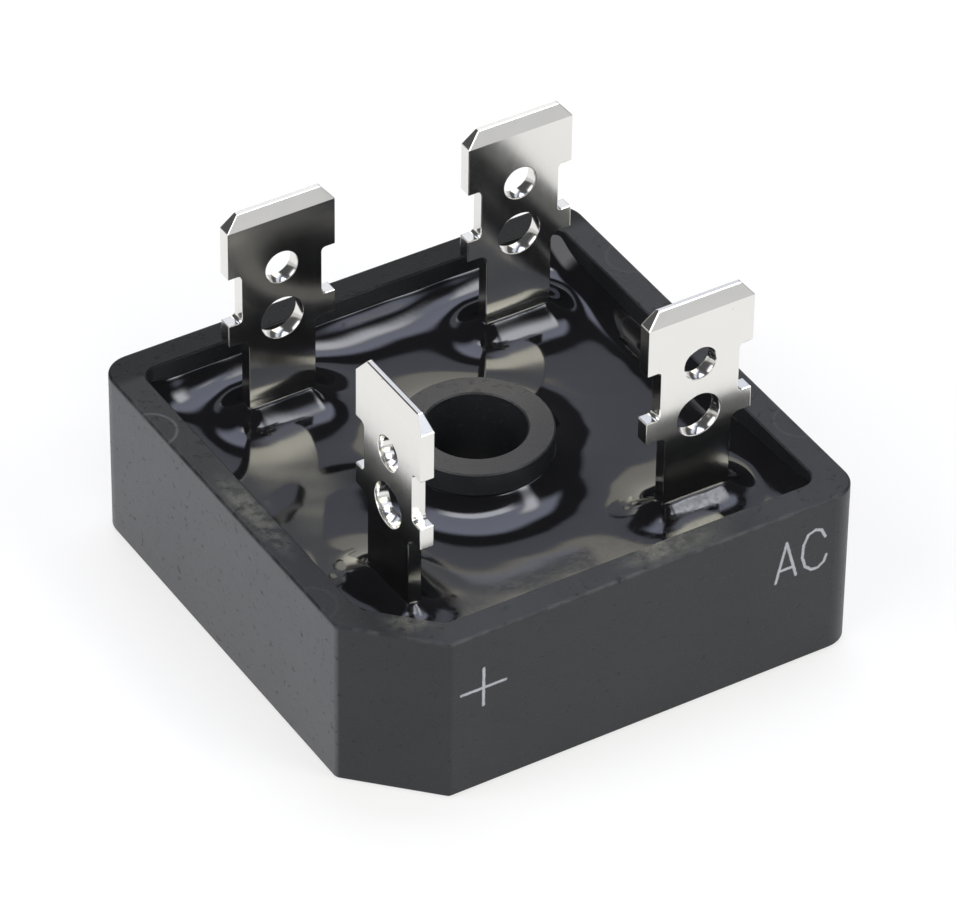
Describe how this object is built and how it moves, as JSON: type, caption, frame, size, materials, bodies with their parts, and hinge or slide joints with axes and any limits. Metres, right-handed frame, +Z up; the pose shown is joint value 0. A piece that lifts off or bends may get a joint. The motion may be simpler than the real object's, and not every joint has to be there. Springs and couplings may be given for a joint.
{
  "type": "bridge rectifier",
  "caption": "Square potted bridge rectifier: black case with a cut corner, central screw boss, glossy resin and upright plated quick-connect tabs.",
  "frame": {"origin": "centre of the flat underside, on the axis of the screw bore", "axes": "+Z up along the screw bore towards the tabs; -Y towards the marked side of the case; the cut corner with the positive tab lies at -X -Y"},
  "size_m": [0.0286, 0.0286, 0.0214],
  "materials": {
    "case_moulding": "matte black thermosetting moulding, slightly speckled",
    "plate_metal": "flat rolled plate, faintly brushed",
    "resin": "glossy black cast resin",
    "plated_tab": "bright plated stamping with a soft mirror surface",
    "frame_copper": "bare copper strip",
    "silicon": "polished silicon chip",
    "solder": "dull grey solder"
  },
  "bodies": {
    "root": {"case": "case_moulding", "heatsink_plate": "plate_metal", "potting_resin": "resin", "terminal_positive": "plated_tab", "frame_positive": "frame_copper", "solder_foot_positive": "solder", "terminal_negative": "plated_tab", "frame_negative": "frame_copper", "solder_foot_negative": "solder", "terminal_ac_left": "plated_tab", "frame_ac_left": "frame_copper", "solder_foot_ac_left": "solder", "terminal_ac_right": "plated_tab", "frame_ac_right": "frame_copper", "solder_foot_ac_right": "solder", "chip_left": "silicon", "solder_below_chip_left": "solder", "solder_above_chip_left": "solder", "chip_front": "silicon", "solder_below_chip_front": "solder", "solder_above_chip_front": "solder", "chip_right": "silicon", "solder_below_chip_right": "solder", "solder_above_chip_right": "solder", "chip_back": "silicon", "solder_below_chip_back": "solder", "solder_above_chip_back": "solder"}
  },
  "joints": []
}
